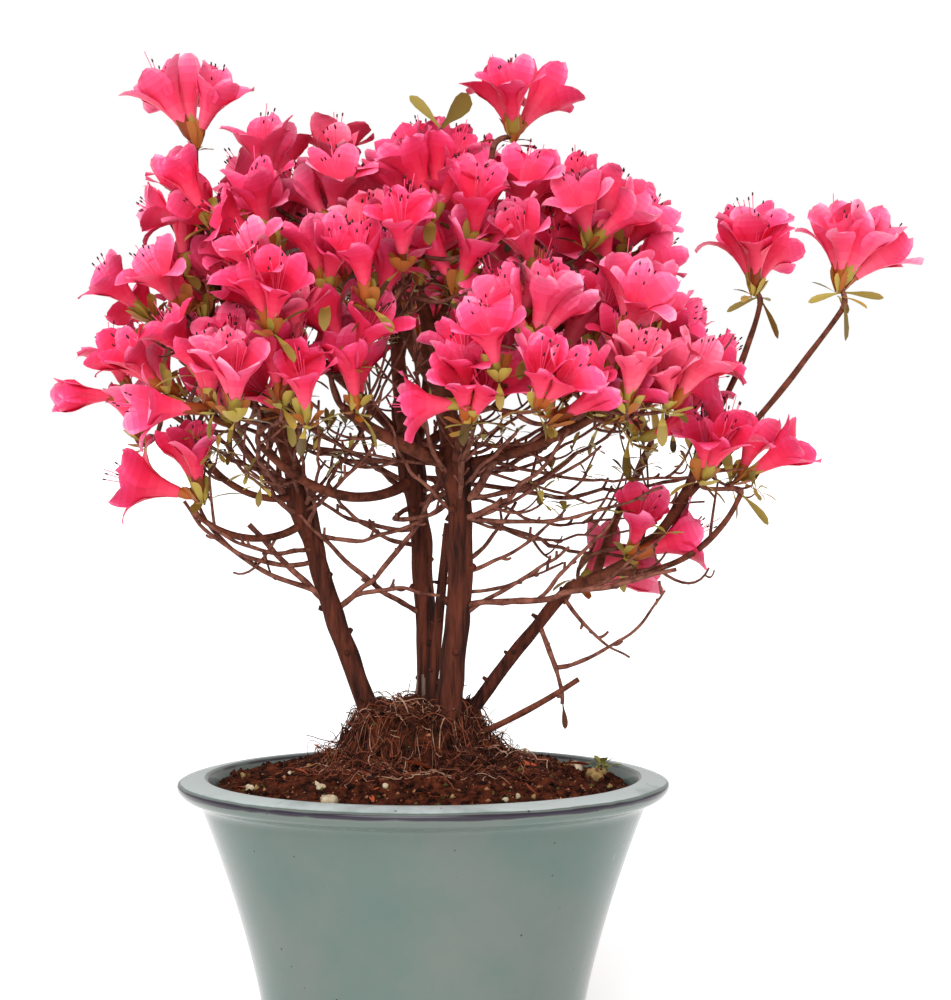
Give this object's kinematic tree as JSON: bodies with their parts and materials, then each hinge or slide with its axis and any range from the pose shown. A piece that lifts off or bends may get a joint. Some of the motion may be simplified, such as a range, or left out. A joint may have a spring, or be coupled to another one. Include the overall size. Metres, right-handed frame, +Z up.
{
  "type": "azalea bonsai in a pot",
  "caption": "Flowering azalea bonsai: leaning stems on a raised root ball, a wide crown of pink funnel blossom on fine twigs, in a flared celadon-glazed pot.",
  "frame": {"origin": "centre of the pot's flat underside", "axes": "+Z up, +X to the right and +Y to the back as the plant is seen from its front; the long bare shoot reaches out along +X"},
  "size_m": [0.461, 0.3248, 0.5246],
  "materials": {
    "glaze": "glossy grey-green celadon glaze",
    "soil": "loose dark brown soil with fine roots",
    "bark": "rough reddish brown bark",
    "blossom": "soft thin petals, with small green leaves and brown twigs"
  },
  "bodies": {
    "root": {"pot": "glaze", "soil_and_root_ball": "soil", "left_stem": "bark", "back_stem": "bark", "front_stem": "bark", "right_stem": "bark", "thin_stem": "bark", "low_stub": "bark", "left_leader": "bark", "left_top_shoot": "bark", "left_outer_bough": "bark", "left_mid_bough": "bark", "left_low_bough": "bark", "left_back_bough": "bark", "left_arc_bough": "bark", "front_left_bough": "bark", "front_leader": "bark", "front_bough": "bark", "front_upper_bough": "bark", "top_left_bough": "bark", "top_right_shoot": "bark", "right_upper_bough": "bark", "right_top_bough": "bark", "right_inner_bough": "bark", "right_main_bough": "bark", "right_outer_bough": "bark", "right_low_bough": "bark", "right_back_bough": "bark", "far_right_bough": "bark", "far_right_inner_bough": "bark", "back_leader": "bark", "back_left_bough": "bark", "back_right_bough": "bark", "back_bough": "bark", "blossom_left_top": "blossom", "blossom_left_upper": "blossom", "blossom_left_outer": "blossom", "blossom_left_mid": "blossom", "blossom_left_low": "blossom", "blossom_left_front": "blossom", "blossom_left_back": "blossom", "blossom_top_left": "blossom", "blossom_top_centre": "blossom", "blossom_top_right": "blossom", "blossom_centre_front": "blossom", "blossom_centre_upper": "blossom", "blossom_centre_low": "blossom", "blossom_right_upper": "blossom", "blossom_right_top": "blossom", "blossom_right_front": "blossom", "blossom_right_outer": "blossom", "blossom_right_low": "blossom", "blossom_right_under": "blossom", "blossom_far_right": "blossom", "blossom_far_right_inner": "blossom", "blossom_back_top": "blossom", "blossom_back_left": "blossom", "blossom_back_right": "blossom", "blossom_back": "blossom", "blossom_right_back": "blossom"}
  },
  "joints": []
}
